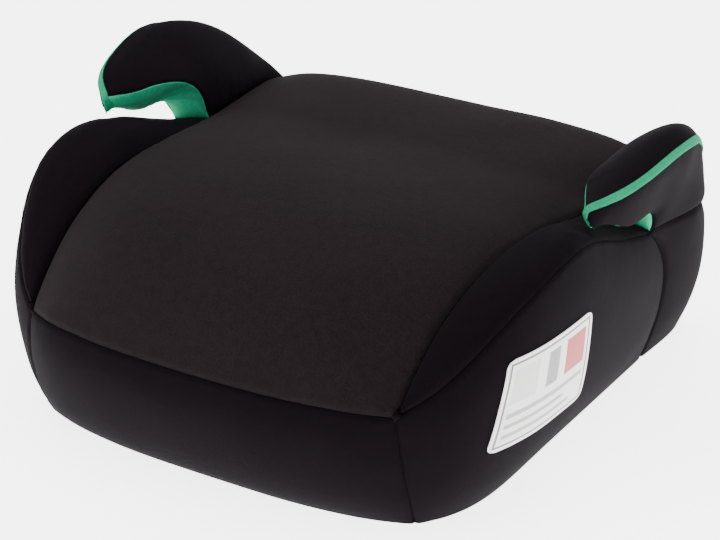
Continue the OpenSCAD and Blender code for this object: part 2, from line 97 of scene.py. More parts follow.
# ---- Cloth of the cover ----
# Charcoal circular-knit polyester, slightly heathered, and the same cloth dyed emerald green. The knit runs
# along the grain of each panel, so it reads the panel's own cutting pattern, which is in metres.


class Wire:
    """A value in a material's node tree, so that shader maths reads as sums."""

    def __init__(self, tree, socket=None):
        self.tree = tree
        self.socket = socket

    def node(self, kind, wires=(), out=0, **settings):
        made = self.tree.nodes.new("ShaderNode" + kind)
        for name, value in settings.items():
            setattr(made, name, value)
        for name, value in dict(wires).items():
            if isinstance(value, Wire):
                self.tree.links.new(value.socket, made.inputs[name])
            else:
                made.inputs[name].default_value = value
        return Wire(self.tree, made.outputs[out])

    def maths(self, operation, a, b=0.0):
        return self.node("Math", {0: a, 1: b}, operation=operation)

    def __add__(self, other):
        return self.maths("ADD", self, other)

    def __radd__(self, other):
        return self.maths("ADD", other, self)

    def __sub__(self, other):
        return self.maths("SUBTRACT", self, other)

    def __rsub__(self, other):
        return self.maths("SUBTRACT", other, self)

    def __mul__(self, other):
        return self.maths("MULTIPLY", self, other)

    def __rmul__(self, other):
        return self.maths("MULTIPLY", other, self)

    def __truediv__(self, other):
        return self.maths("DIVIDE", self, other)

    def between(self, low, high):
        """0 below low and 1 above high, smooth in between."""
        ends = {0: self, 1: low, 2: high, 3: 0.0, 4: 1.0}
        return self.node("MapRange", ends, interpolation_type="SMOOTHSTEP")

    def tint(self, dark, light):
        """The colour from dark to light as this goes from 0 to 1. Either may be a wire."""
        ends = [end if isinstance(end, Wire) else (*end, 1) for end in (dark, light)]
        return self.node("Mix", {0: self, 6: ends[0], 7: ends[1]}, out=2, data_type="RGBA")

    def feed(self, shader, name):
        self.tree.links.new(self.socket, shader.inputs[name])


def new_finish(name, **constants):
    """A material, the wire to start its nodes from, and its shader."""
    finish = bpy.data.materials.new(name)
    finish.use_nodes = True
    shader = finish.node_tree.nodes["Principled BSDF"]
    for socket, value in constants.items():
        shader.inputs[socket.replace("_", " ")].default_value = value
    return finish, Wire(finish.node_tree), shader


def knit(name, dark, light, sheen, rough, stitch=0.0012, edge_shadow_from=0.0):
    """Knitted cloth: rows of small stitches, heather flecks and a slight change of tone over the panel. A
    ribbon's two edges are darkened as painted shadow, from the given distance off its middle outwards."""
    finish, start, shader = new_finish(
        name, Sheen_Weight=sheen, Sheen_Roughness=0.5, Specular_IOR_Level=0.05
    )
    pattern = start.node("UVMap", uv_map="pattern")
    along = pattern.node("SeparateXYZ", {0: pattern}, out=0)
    across = pattern.node("SeparateXYZ", {0: pattern}, out=1)
    courses = start.maths("SINE", along * (2 * math.pi / stitch))
    wales = start.maths("SINE", across * (2 * math.pi / (stitch * 0.8)))
    stitches = courses * wales
    flecks, slubs, shade = (
        start.node("TexNoise", {"Vector": pattern, "Scale": scale, "Detail": detail}, noise_dimensions="2D")
        for scale, detail in ((750.0, 2.0), (170.0, 3.0), (14.0, 2.0))
    )
    tone = flecks * 0.62 + slubs * 0.22 + shade * 0.16 + stitches * 0.05
    colour = tone.between(0.2, 0.8).tint(dark, light)
    if edge_shadow_from:
        # Painted shadow: both edges of a ribbon are darkened to 30 % of the cloth's dark tone.
        beside = start.maths("ABSOLUTE", across).between(edge_shadow_from, edge_shadow_from + 0.0004)
        colour = beside.tint(colour, [channel * 0.3 for channel in dark])
    colour.feed(shader, "Base Color")
    (rough + (flecks - 0.5) * 0.12).feed(shader, "Roughness")
    height = stitches * 0.35 + flecks * 0.7 + slubs * 0.8
    start.node("Bump", {"Height": height, "Distance": 0.0003, "Strength": 0.8}).feed(shader, "Normal")
    return finish


seat_cloth = knit("charcoal_knit", (0.0036, 0.0021, 0.0027), (0.0115, 0.0076, 0.009), 0.02, 0.9)
# Painted shade: every panel but the seat gets this darker copy of the same charcoal cloth.
side_cloth = knit("charcoal_knit_painted_shade", (0.0011, 0.0003, 0.0009), (0.0034, 0.0014, 0.003), 0.006, 0.92)
# Painted light: the linings lie in shade under the armrests, so their green is lighter than the ribbon's.
green_cloth = knit("green_knit_painted_light", (0.009, 0.27, 0.135), (0.025, 0.38, 0.2), 0.02, 0.88)

# The ribbon's edges carry a painted shadow, starting 2.3 mm out from its middle.
ribbon_cloth = knit(
    "green_ribbon", (0.004, 0.17, 0.078), (0.011, 0.25, 0.125), 0.015, 0.88, edge_shadow_from=2.3 * mm
)

# ---- Cover panels: cutting ----
# The cover is cut from fifteen panels, with foam laminated behind the ones a child sits on or leans on.
# Each is lifted from its CAD node as one sheet of squares along the grain, and its blunt points are run on
# to the corners where the seams meet.


panel_thickness = 2.5 * mm


def cut_panel(name, node, face_way, point=None):
    """The outer face of a CAD panel, without its thickness. A point is a corner, how far off it the panel's
    blunt end lies, and in how many steps it is closed."""
    pattern = bmesh.new()
    pattern.from_mesh(nodes[node].data)
    bmesh.ops.remove_doubles(pattern, verts=pattern.verts, dist=0.01 * mm)
    rim = [
        face
        for face in pattern.faces
        if any(abs(edge.calc_length() - panel_thickness) < 1e-5 for edge in face.edges)
    ]
    bmesh.ops.delete(pattern, geom=rim, context="FACES_ONLY")
    way = Vector(face_way).normalized()
    first = max(pattern.faces, key=lambda face: face.normal.dot(way) * face.calc_area())
    kept = {first}
    reached = [first]
    while reached:
        for edge in reached.pop().edges:
            for face in edge.link_faces:
                if face not in kept:
                    kept.add(face)
                    reached.append(face)
    bmesh.ops.delete(pattern, geom=[face for face in pattern.faces if face not in kept], context="FACES")
    bmesh.ops.delete(pattern, geom=[v for v in pattern.verts if not v.link_faces], context="VERTS")
    bmesh.ops.join_triangles(
        pattern, faces=pattern.faces, angle_face_threshold=math.pi, angle_shape_threshold=math.pi
    )
    if point:
        corner, reach, steps = Vector(point[0]) * mm, point[1] * mm, point[2]

        def across_end(edge):
            onward = corner - (edge.verts[0].co + edge.verts[1].co) / 2
            along = (edge.verts[0].co - edge.verts[1].co).normalized()
            crossing = abs(along.dot(onward.normalized())) < 0.92
            return edge.is_boundary and onward.length < reach and crossing

        end = [edge for edge in pattern.edges if across_end(edge)]
        for left in range(steps, 0, -1):
            made = bmesh.ops.extrude_edge_only(pattern, edges=end)["geom"]
            end = [item for item in made if isinstance(item, bmesh.types.BMEdge)]
            for v in {v for edge in end for v in edge.verts}:
                v.co = v.co.lerp(corner, min(1 / left, 0.96))
        bmesh.ops.recalc_face_normals(pattern, faces=pattern.faces)
        if sum((face.normal.dot(way) * face.calc_area() for face in pattern.faces), 0.0) < 0:
            bmesh.ops.reverse_faces(pattern, faces=pattern.faces)
    sheet = bpy.data.meshes.new(name)
    pattern.to_mesh(sheet)
    pattern.free()
    piece = bpy.data.objects.new(name, sheet)
    bpy.context.collection.objects.link(piece)
    return piece


panels = {
    "seat_panel": cut_panel("seat_panel", "cover_seat_panel", (0, 0, 1)),
    "front_panel": cut_panel("front_panel", "cover_front_panel", (0, -1, 0)),
}
for side, way in (("left", -1), ("right", 1)):
    front_corner = (134 * way, -166, 82)
    rear_corner = (148 * way, 174, 112)
    for name, node, face_way, point in (
        ("bolster_", "cover_bolster_", (0, 0, 1), (front_corner, 7.6, 1)),
        ("side_panel_", "cover_side_", (way, 0, 0), None),
        ("rear_side_panel_", "cover_rear_side_", (way, 0.5, 0), None),
        ("arm_inner_panel_", "armrest_inner_panel_", (-0.5 * way, 0, 1), (rear_corner, 13.5, 1)),
        ("guide_lining_", "belt_guide_lining_", (0, 0, -1), None),
        ("arm_outer_panel_", "armrest_outer_panel_", (way, 0, 0), (rear_corner, 34, 3)),
    ):
        panels[name + side] = cut_panel(name + side, node + side, face_way, point)
panels["back_panel"] = cut_panel("back_panel", "cover_back_panel", (0, 1, 0))

# ---- Cover panels: sewing ----
# The panels are sewn edge to edge, right sides together, so each seam is a narrow valley that draws the
# cloth in a little, with small puckers across it. Every edge is first brought to the edge it is sewn to.


def apply_modifier(piece, kind, **settings):
    bpy.ops.object.select_all(action="DESELECT")
    bpy.context.view_layer.objects.active = piece
    piece.select_set(True)
    modifier = piece.modifiers.new(kind.lower(), kind)
    for setting, value in settings.items():
        setattr(modifier, setting, value)
    bpy.ops.object.modifier_apply(modifier=modifier.name)


def lay_pattern(piece):
    """Unwraps a sheet to its flat cutting pattern, in metres."""
    bpy.ops.object.select_all(action="DESELECT")
    bpy.context.view_layer.objects.active = piece
    piece.select_set(True)
    for old in list(piece.data.uv_layers):
        piece.data.uv_layers.remove(old)
    piece.data.uv_layers.new(name="pattern")
    bpy.ops.object.mode_set(mode="EDIT")
    bpy.ops.mesh.select_all(action="SELECT")
    bpy.ops.uv.unwrap(method="ANGLE_BASED", margin=0.0)
    bpy.ops.object.mode_set(mode="OBJECT")
    flat = piece.data.uv_layers["pattern"].uv
    drawn, real = 0.0, 0.0
    for face in piece.data.polygons:
        spots = [flat[loop].vector for loop in face.loop_indices]
        drawn += abs(sum(a.cross(b) for a, b in zip(spots, spots[1:] + spots[:1]))) / 2
        real += face.area
    for spot in flat:
        spot.vector = spot.vector * math.sqrt(real / drawn)


def round_off(piece, ring, levels):
    """Adds a ring of narrow squares along the seams, then subdivides, keeping the panel's sharp corners."""
    sheet = bmesh.new()
    sheet.from_mesh(piece.data)
    if ring:
        bmesh.ops.inset_region(
            sheet, faces=sheet.faces, use_boundary=True, use_even_offset=True, thickness=ring * mm
        )
    sharpness = sheet.verts.layers.float.new("crease_vert")
    for v in sheet.verts:
        ends = [edge.other_vert(v).co - v.co for edge in v.link_edges if edge.is_boundary]
        if len(ends) == 2 and ends[0].angle(ends[1]) < math.radians(146):
            v[sharpness] = 1.0
    sheet.to_mesh(piece.data)
    sheet.free()
    lay_pattern(piece)
    apply_modifier(piece, "SUBSURF", levels=levels, render_levels=levels, uv_smooth="PRESERVE_BOUNDARIES")


def rim_points(piece, gap):
    """Points and normals along the open edges of a sheet."""
    sheet = bmesh.new()
    sheet.from_mesh(piece.data)
    found = []
    for edge in sheet.edges:
        if edge.is_boundary:
            a, b = edge.verts
            count = max(1, round(edge.calc_length() / gap))
            shares = [i / count for i in range(count)]
            found += [(a.co.lerp(b.co, share), a.normal.lerp(b.normal, share)) for share in shares]
    sheet.free()
    return found


def tree_of(points):
    tree = KDTree(len(points))
    for index, point in enumerate(points):
        tree.insert(point, index)
    tree.balance()
    return tree


def bring_to(piece, fixed, reach, carry=12 * mm):
    """Moves a sheet's edges on to the edges it is sewn to, and the cloth beside them with them."""
    sheet = bmesh.new()
    sheet.from_mesh(piece.data)
    edge_places, shifts = [], []
    for v in sheet.verts:
        if v.is_boundary:
            place, index, gap = fixed.find(v.co)
            edge_places.append(v.co.copy())
            shifts.append(place - v.co if gap < reach(v.co) else Vector())
    edges = tree_of(edge_places)
    for v in sheet.verts:
        place, index, gap = edges.find(v.co)
        if gap < carry:
            v.co += shifts[index] * (1 - gap / carry) ** 2
    sheet.to_mesh(piece.data)
    sheet.free()


def near_rear_corner(place):
    return 8 * mm if place.y > 158 * mm and abs(place.x) > 146 * mm else 1.8 * mm


sewn_points = []
for name, piece in panels.items():
    wide = any(word in name for word in ("seat", "front", "back", "side_panel"))
    round_off(piece, 4 if wide else 0, 3)
    if sewn_points:
        bring_to(piece, tree_of([point for point, normal in sewn_points]), near_rear_corner)
    sewn_points += rim_points(piece, 0.7 * mm)

# The foot of the cover is folded under the shell and has no seam, so it keeps its shape.
foot_points = [point for point, normal in sewn_points if point.z < 1.5 * mm]
seam_points = [(point, normal) for point, normal in sewn_points if point.z > 1.5 * mm]
seams = tree_of([point for point, normal in seam_points])
seam_normals = []
for point, normal in seam_points:
    together = Vector()
    for place, index, gap in seams.find_range(point, 2 * mm):
        together += seam_points[index][1]
    seam_normals.append(together.normalized())

valley_width = 4.6 * mm
valley_depth = 2.1 * mm
pucker_height = 0.55 * mm
pucker_length = 11 * mm
slack_height = 0.9 * mm


def sew(piece, number):
    """Sinks the seams, and puckers the cloth beside them."""
    sheet = bmesh.new()
    sheet.from_mesh(piece.data)
    moved = {}
    for v in sheet.verts:
        place, index, gap = seams.find(v.co)
        own = v.normal.copy()
        near = max(0.0, 1 - gap / valley_width)
        away = 1 - near
        into = seam_normals[index].lerp(own, min(1.0, gap / valley_width))
        move = into * (-valley_depth * near**2)
        fold = noise.noise(place / pucker_length + Vector((number * 7.3, 0, 0)))
        fold += 0.5 * noise.noise(place / (pucker_length * 0.45) + Vector((0, number * 5.1, 0)))
        ramp = min(1.0, gap / (3 * mm)) * math.exp(-gap / (9 * mm))
        slack = noise.noise(v.co / (46 * mm) + Vector((0, 0, number * 3.7)))
        open_field = min(1.0, gap / (22 * mm)) ** 2
        foot = min(1.0, max(0.0, v.co.z / (14 * mm)))
        move += own * foot * (pucker_height * ramp * fold + slack_height * open_field * slack)
        moved[v] = v.co + move
    for v, place in moved.items():
        v.co = place
    sheet.to_mesh(piece.data)
    sheet.free()


for number, piece in enumerate(panels.values()):
    sew(piece, number)

# ---- Cover panels: stuffing ----
# The belt guide linings hang full below the armrests, with fan folds where they turn down, and the seam
# below them sags. Foam rounds the noses of the armrests, fills their shoulders and plumps up the bolsters.
sag_line = ((186, -15, 153), (189, 6, 153), (190, 19, 150), (191, 32, 147), (191, 52, 141), (191, 67, 131))
sag_depth = 9.0 * mm
sag_reach = 30 * mm
lining_fullness = 3.2 * mm
fold_height = 2.4 * mm
folds_per_radian = 17
nose_reach = 14 * mm
shoulder_line = ((189, 72, 118), (195, 106, 117), (195, 137, 115), (182, 162, 113))
shoulder_reach = 34 * mm
bolster_fullness = 4.2 * mm


def eased(share):
    return share * share * (3 - 2 * share)


def swell(place, middle, reach):
    """1 at the middle and 0 at the reach on either side of it."""
    return math.cos(math.pi / 2 * min(1.0, abs(place - middle) / reach)) ** 2


def line_tree(line, way):
    """Nine points on each stretch of a line, in millimetres, on one side of the seat."""
    points = []
    for a, b in zip(line, line[1:]):
        start, stop = Vector((way * a[0], a[1], a[2])), Vector((way * b[0], b[1], b[2]))
        points += [start.lerp(stop, i / 8) * mm for i in range(9)]
    return tree_of(points)


for side, way in (("left", -1), ("right", 1)):
    sag_tree = line_tree(sag_line, way)
    fan = Vector((172 * way, 50, 148)) * mm
    nose_end = Vector((186 * way, -15, 153)) * mm
    nose_shift = Vector((-1.5 * way, 2.5, -2.0)) * mm
    for name in ("guide_lining_", "arm_outer_panel_"):
        sheet = panels[name + side].data
        normals = [v.normal.copy() for v in sheet.vertices]
        for v, normal in zip(sheet.vertices, normals):
            shift = Vector()
            if name == "guide_lining_":
                full = eased(min(1.0, seams.find(v.co)[2] / (12 * mm)))
                forward = min(1.0, max(0.0, (50 * mm - v.co.y) / (24 * mm)))
                turn = math.atan2(v.co.z - 128 * mm, v.co.y - 30 * mm)
                near_fan = math.exp(-(((v.co - fan).length / (20 * mm)) ** 2))
                folds = math.sin(turn * folds_per_radian) * near_fan
                shift += normal * (full * (lining_fullness * forward + fold_height * folds))
            near_seam = eased(max(0.0, 1 - sag_tree.find(v.co)[2] / sag_reach))
            shift.z -= sag_depth * swell(v.co.y, 28 * mm, 44 * mm) * near_seam
            at_nose = max(0.0, 1 - (v.co - nose_end).length / nose_reach)
            v.co += shift + nose_shift * at_nose**2

for side, way in (("left", -1), ("right", 1)):
    shoulder_tree = line_tree(shoulder_line, way)
    shoulder_shift = Vector((2.6 * way, 0.6, 0)) * mm
    for name in ("arm_outer_panel_", "rear_side_panel_"):
        for v in panels[name + side].data.vertices:
            near_seam = eased(max(0.0, 1 - shoulder_tree.find(v.co)[2] / shoulder_reach))
            v.co += shoulder_shift * swell(v.co.y, 128 * mm, 40 * mm) * near_seam

for side in ("left", "right"):
    sheet = panels["bolster_" + side].data
    normals = [v.normal.copy() for v in sheet.vertices]
    for v, normal in zip(sheet.vertices, normals):
        full = eased(min(1.0, seams.find(v.co)[2] / (17 * mm)))
        v.co += normal * (bolster_fullness * full * swell(v.co.y, -6 * mm, 80 * mm))

# ---- Green bands ----
# A ribbon of green cloth lies along the outer edge of each armrest, half on either panel, from the rear
# corner over the top to the tip, and turns down round the tip. It is stitched close to both of its edges,
# and its cloth is darkened along them as painted shadow.
band_half = 2.8 * mm
band_row = 1.6 * mm
band_dome = 0.75 * mm
band_nose = 14 * mm
steps = 12


def opened(piece):
    sheet = bmesh.new()
    sheet.from_mesh(piece.data)
    return sheet


def edge_walks(sheet, corner):
    """Both ways round a sheet's open edge, from the point on it that is nearest to a corner."""
    first = min((v for v in sheet.verts if v.is_boundary), key=lambda v: (v.co - corner).length)
    walks = []
    for edge in [edge for edge in first.link_edges if edge.is_boundary]:
        walk, here = [first.co.copy()], first
        while edge and len(walk) < 400:
            here = edge.other_vert(here)
            walk.append(here.co.copy())
            onward = [other for other in here.link_edges if other.is_boundary and other != edge]
            edge = onward[0] if onward else None
            if here == first:
                break
        walks.append(walk)
    return walks


def run_of(line):
    """The distance along a line to each of its points."""
    run = [0.0]
    for a, b in zip(line, line[1:]):
        run.append(run[-1] + (b - a).length)
    return run


def even_line(line, gap):
    """A line with its points evenly spaced, smoothed eight times."""
    run = run_of(line)
    count = round(run[-1] / gap)
    even = []
    for i in range(count + 1):
        far = run[-1] * i / count
        k = min(max(j for j in range(len(run)) if run[j] <= far + 1e-9), len(line) - 2)
        even.append(line[k].lerp(line[k + 1], (far - run[k]) / max(1e-9, run[k + 1] - run[k])))
    for turn in range(8):
        inner = [b * 0.5 + (a + c) * 0.25 for a, b, c in zip(even, even[1:], even[2:])]
        even = [even[0]] + inner + [even[-1]]
    return even


for side, way in (("left", -1), ("right", 1)):
    outer, inner, lining = (
        opened(panels[name + side]) for name in ("arm_outer_panel_", "arm_inner_panel_", "guide_lining_")
    )
    surfaces = [BVHTree.FromBMesh(inner), BVHTree.FromBMesh(outer)]
    nose_surfaces = surfaces + [BVHTree.FromBMesh(lining)]
    lining_points = tree_of([v.co for v in lining.verts])
    inner_edge = tree_of([v.co for v in inner.verts if v.is_boundary])
    walks = edge_walks(outer, Vector((177 * way, -23, 165)) * mm)
    walks.sort(key=lambda walk: sum(inner_edge.find(place)[2] for place in walk[:60]))
    over, down = walks
    rear_end = Vector((152 * way, 170, 114)) * mm
    end = min(range(len(over)), key=lambda i: (over[i] - rear_end).length)
    nose = [place for place, run in zip(down, run_of(down)) if run <= band_nose]
    line = nose[:0:-1] + over[: end + 1]
    spine = even_line(line, band_row)
    count = len(spine) - 1
    nose_share = run_of(nose)[-1] / run_of(line)[-1]
    middle_of_arm = Vector((184 * way, 40, 150)) * mm
    ribbon = bmesh.new()
    pattern = ribbon.loops.layers.uv.new("pattern")
    rows = []
    for i, place in enumerate(spine):
        share = i / count
        along = (spine[min(i + 1, count)] - spine[max(i - 1, 0)]).normalized()
        normals = [tree.find_nearest(place)[1] for tree in surfaces]
        out = (normals[0] + normals[1]).normalized()
        out = (out - along * out.dot(along)).normalized()
        across = along.cross(out).normalized()
        half, lean, around = band_half, 0.0, surfaces
        if share < nose_share:
            half *= 0.3 + 1.0 * math.sin(math.pi * (0.08 + 0.62 * share / nose_share))
            ahead = lining_points.find(place + across * 3 * mm)[2]
            behind = lining_points.find(place - across * 3 * mm)[2]
            lean = (0.85 if ahead < behind else -0.85) * min(1.0, 3 * (1 - share / nose_share))
            around = nose_surfaces
        half *= min(1.0, 0.3 + 0.2 * (count - i))
        row = []
        for k in range(steps + 1):
            at = place + across * half * (2 * k / steps - 1 + lean)
            spot = min([tree.find_nearest(at) for tree in around], key=lambda found: found[3])
            row.append(spot[0] + spot[1] * (0.2 * mm))
        left_edge, right_edge = row[0], row[-1]
        for k in range(1, steps):
            t = k / steps
            chord = left_edge.lerp(right_edge, t)
            dome = band_dome * min(1.0, 4 * t, 4 - 4 * t)
            row[k] = chord + out * max(dome, (row[k] - chord).dot(out) + 0.3 * mm)
        rows.append([ribbon.verts.new(spot) for spot in row])
    for i in range(count):
        for k in range(steps):
            face = ribbon.faces.new((rows[i][k], rows[i][k + 1], rows[i + 1][k + 1], rows[i + 1][k]))
            ends = ((i, k), (i, k + 1), (i + 1, k + 1), (i + 1, k))
            for loop, (step, stripe) in zip(face.loops, ends):
                loop[pattern].uv = (step * band_row, (stripe / steps - 0.5) * 2 * band_half)
    bmesh.ops.recalc_face_normals(ribbon, faces=ribbon.faces)
    if sum(face.normal.dot(face.calc_center_median() - middle_of_arm) for face in ribbon.faces) < 0:
        bmesh.ops.reverse_faces(ribbon, faces=ribbon.faces)
    ribbon_mesh = bpy.data.meshes.new("band_" + side)
    ribbon.to_mesh(ribbon_mesh)
    for sheet in (ribbon, outer, inner, lining):
        sheet.free()
    band = bpy.data.objects.new("band_" + side, ribbon_mesh)
    bpy.context.collection.objects.link(band)
    apply_modifier(band, "SMOOTH", factor=0.5, iterations=3)
    apply_modifier(band, "SOLIDIFY", thickness=1.1 * mm, offset=-0.2)
    apply_modifier(band, "SUBSURF", levels=1, render_levels=1)
    bpy.ops.object.shade_smooth()
    band.data.materials.append(ribbon_cloth)
    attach(band, "root")
    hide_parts("armrest_band_" + side)

# ---- Cover panels: padding ----
# A foam layer is laminated behind each panel, thick under the seat and thin elsewhere, and the stitching
# flattens it to almost nothing at the seams.
backing = {
    "seat_panel": (("cover_seat_panel", "seat_foam"), 12.0, seat_cloth, "seat_cloth", 0.75),
    "front_panel": (("cover_front_panel", "front_foam"), 8.0, side_cloth, "side_cloth", 0.6),
    "back_panel": (("cover_back_panel",), 2.4, side_cloth, "side_cloth", 0.3),
}
for side in ("left", "right"):
    for name, cad_nodes, thickness, fill in (
        ("bolster_", ("cover_bolster_", "bolster_foam_"), 8.0, 0.7),
        ("side_panel_", ("cover_side_", "side_foam_"), 8.0, 0.6),
        ("rear_side_panel_", ("cover_rear_side_",), 2.4, 0.3),
        ("arm_inner_panel_", ("armrest_inner_panel_",), 3.0, 0.7),
        ("arm_outer_panel_", ("armrest_outer_panel_",), 2.4, 0.7),
    ):
        both = tuple(node + side for node in cad_nodes)
        backing[name + side] = (both, thickness, side_cloth, "side_cloth", fill)
    lining_nodes = ("belt_guide_lining_" + side,)
    backing["guide_lining_" + side] = (lining_nodes, 2.0, green_cloth, "green_cloth", 0.3)

for name, piece in panels.items():
    cad_nodes, thickness, cloth, slot, fill = backing[name]
    sheet = opened(piece)
    bmesh.ops.remove_doubles(sheet, verts=sheet.verts, dist=0.02 * mm)
    folded = [face for face in sheet.faces if all(len(edge.link_faces) != 2 for edge in face.edges)]
    bmesh.ops.delete(sheet, geom=folded, context="FACES")
    bmesh.ops.delete(sheet, geom=[edge for edge in sheet.edges if not edge.link_faces], context="EDGES")
    for v in list(sheet.verts):
        rim_edges = [edge for edge in v.link_edges if edge.is_boundary]
        if len(rim_edges) > 2:
            bmesh.utils.vert_separate(v, rim_edges)
    sheet.to_mesh(piece.data)
    sheet.free()
    group = piece.vertex_groups.new(name="loft")
    for v in piece.data.vertices:
        gap = seams.find(v.co)[2]
        group.add([v.index], min(1.0, 0.1 + gap / (14 * mm)), "REPLACE")
    apply_modifier(
        piece,
        "SOLIDIFY",
        thickness=thickness * mm,
        offset=-1.0,
        vertex_group="loft",
        thickness_vertex_group=0.1,
    )
    piece.vertex_groups.clear()
    for v in piece.data.vertices:
        v.co.z = max(v.co.z, 0.1 * mm)
    bpy.ops.object.shade_smooth()
    piece.data.materials.clear()
    piece.data.materials.append(cloth)
    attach(piece, "root")
    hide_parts(*cad_nodes)

# ---- Hem and elastic ----
# The foot of the cover turns under the shell in a black bound hem, and a flat elastic sewn along its inner
# edge gathers it, so the hem lies in small even folds.
middle = Vector((0, 6 * mm, 0))
foot_points.sort(key=lambda point: math.atan2(point.y - middle.y, point.x))
foot_loop = []
for point in foot_points:
    if not foot_loop or (point - foot_loop[-1]).length > 2.4 * mm:
        foot_loop.append(point)
if (foot_loop[0] - foot_loop[-1]).length < 1.6 * mm:
    foot_loop.pop()


def loop_strip(name, insets, heights, folds, fold_height, thickness):
    """A strip that runs round inside the foot, gathered in folds that grow towards its inner edge."""
    strip = bmesh.new()
    rings = []
    count = len(foot_loop)
    pattern = strip.loops.layers.uv.new("pattern")
    for row, (inset, height) in enumerate(zip(insets, heights)):
        share = row / (len(insets) - 1)
        ring = []
        for i, point in enumerate(foot_loop):
            along = (foot_loop[(i + 4) % count] - foot_loop[i - 4]).normalized()
            inwards = Vector((-along.y, along.x, 0))
            wander = 0.8 * noise.noise(point / (9 * mm))
            ripple = 0.5 + 0.5 * math.sin(2 * math.pi * folds * i / count + wander)
            place = point + inwards * inset * mm
            ring.append(strip.verts.new((place.x, place.y, (height + fold_height * share * ripple) * mm)))
        rings.append(ring)
    for row in range(len(rings) - 1):
        for i in range(count):
            j = (i + 1) % count
            face = strip.faces.new((rings[row][i], rings[row + 1][i], rings[row + 1][j], rings[row][j]))
            spots = ((i, row), (i, row + 1), (i + 1, row + 1), (i + 1, row))
            for loop, (step, line) in zip(face.loops, spots):
                loop[pattern].uv = (step * 2.8 * mm, insets[line] * mm)
    bmesh.ops.recalc_face_normals(strip, faces=strip.faces)
    if sum(face.normal.z * face.calc_area() for face in strip.faces) > 0:
        bmesh.ops.reverse_faces(strip, faces=strip.faces)
    mesh = bpy.data.meshes.new(name)
    strip.to_mesh(mesh)
    strip.free()
    piece = bpy.data.objects.new(name, mesh)
    bpy.context.collection.objects.link(piece)
    apply_modifier(piece, "SOLIDIFY", thickness=thickness * mm, offset=-1.0)
    apply_modifier(piece, "SUBSURF", levels=1, render_levels=1)
    bpy.ops.object.shade_smooth()
    return piece


binding, start, shader = new_finish("hem_binding", Sheen_Weight=0.03, Specular_IOR_Level=0.25)
pattern = start.node("UVMap", uv_map="pattern")
along = start.node("SeparateXYZ", {0: pattern}, out=0)
across = start.node("SeparateXYZ", {0: pattern}, out=1)
twill = start.maths("SINE", (along + across) * (2 * math.pi / 0.0014))
flecks = start.node("TexNoise", {"Vector": pattern, "Scale": 700.0, "Detail": 2.0}, noise_dimensions="2D")
weave = (flecks * 0.7 + twill * 0.12 + 0.1).between(0.2, 0.7)
weave.tint((0.004, 0.0036, 0.004), (0.016, 0.014, 0.016)).feed(shader, "Base Color")
(0.8 + flecks * 0.15).feed(shader, "Roughness")
start.node("Bump", {"Height": twill + flecks, "Distance": 0.0002, "Strength": 0.8}).feed(shader, "Normal")
hem = loop_strip("hem", (2.5, 4, 7, 10, 13, 16, 19), (0.5, 0.15, 0.1, 0.1, 0.1, 0.1, 0.1), 96, 1.1, 1.2)
hem.data.materials.append(binding)
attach(hem, "root")
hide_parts("cover_hem")

ribbed, start, shader = new_finish("flat_elastic", Sheen_Weight=0.02, Specular_IOR_Level=0.3)
pattern = start.node("UVMap", uv_map="pattern")
across = start.node("SeparateXYZ", {0: pattern}, out=1)
along = start.node("SeparateXYZ", {0: pattern}, out=0)
ribs = start.maths("SINE", across * (2 * math.pi / 0.0011))
picks = start.maths("SINE", along * (2 * math.pi / 0.0008))
weave = ribs * 0.6 + picks * 0.25
(weave * 0.4 + 0.5).between(0.1, 0.9).tint((0.003, 0.003, 0.003), (0.014, 0.014, 0.0145)).feed(
    shader, "Base Color"
)
(0.7 + ribs * 0.08).feed(shader, "Roughness")
start.node("Bump", {"Height": weave, "Distance": 0.00025, "Strength": 0.9}).feed(shader, "Normal")
elastic = loop_strip("elastic", (14.6, 16, 17.5, 18.9), (2.7, 2.7, 2.7, 2.7), 96, 0.5, 0.8)
elastic.data.materials.append(ribbed)
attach(elastic, "root")
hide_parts("hem_elastic")

# ---- Side label ----
# A white printed film, left blank of words, heat-sealed flat on the right-hand side panel: rounded corners,
# a thin dark frame, and plain boxes and bars in place of the printed notices.
film = bmesh.new()
film.from_mesh(nodes["side_label"].data)
bmesh.ops.remove_doubles(film, verts=film.verts, dist=0.01 * mm)
ways = (Vector((0, -1, -1)), Vector((0, 1, -1)), Vector((0, 1, 1)), Vector((0, -1, 1)))
label_corners = [max((v.co for v in film.verts), key=lambda place: place.dot(way)).copy() for way in ways]
film.free()
under = BVHTree.FromObject(panels["side_panel_right"], bpy.context.evaluated_depsgraph_get())
label_way = (label_corners[1] - label_corners[0]).cross(label_corners[3] - label_corners[0]).normalized()
columns, lines = 64, 52
corner_share_u, corner_share_v = 0.07, 0.085
film = bmesh.new()
pattern = film.loops.layers.uv.new("pattern")
places = {}
for i in range(columns + 1):
    for j in range(lines + 1):
        u, v = i / columns, j / lines
        edge_v = min(v, 1 - v)
        if edge_v < corner_share_v:
            drop_in = 1 - math.sqrt(max(0.0, 1 - (1 - edge_v / corner_share_v) ** 2))
            u = 0.5 + (u - 0.5) * (1 - 2 * corner_share_u * drop_in)
        low = label_corners[0].lerp(label_corners[1], u)
        high = label_corners[3].lerp(label_corners[2], u)
        flat_place = low.lerp(high, v)
        places[i, j] = (film.verts.new(flat_place), (u, v))
for i in range(columns):
    for j in range(lines):
        ring = ((i, j), (i + 1, j), (i + 1, j + 1), (i, j + 1))
        face = film.faces.new([places[spot][0] for spot in ring])
        for loop, spot in zip(face.loops, ring):
            loop[pattern].uv = places[spot][1]
for v, spot in list(places.values()):
    hit = under.ray_cast(v.co + label_way * (40 * mm), -label_way, 80 * mm)[0]
    v.co = hit + label_way * (0.3 * mm)
bmesh.ops.recalc_face_normals(film, faces=film.faces)
if sum(face.normal.x for face in film.faces) < 0:
    bmesh.ops.reverse_faces(film, faces=film.faces)
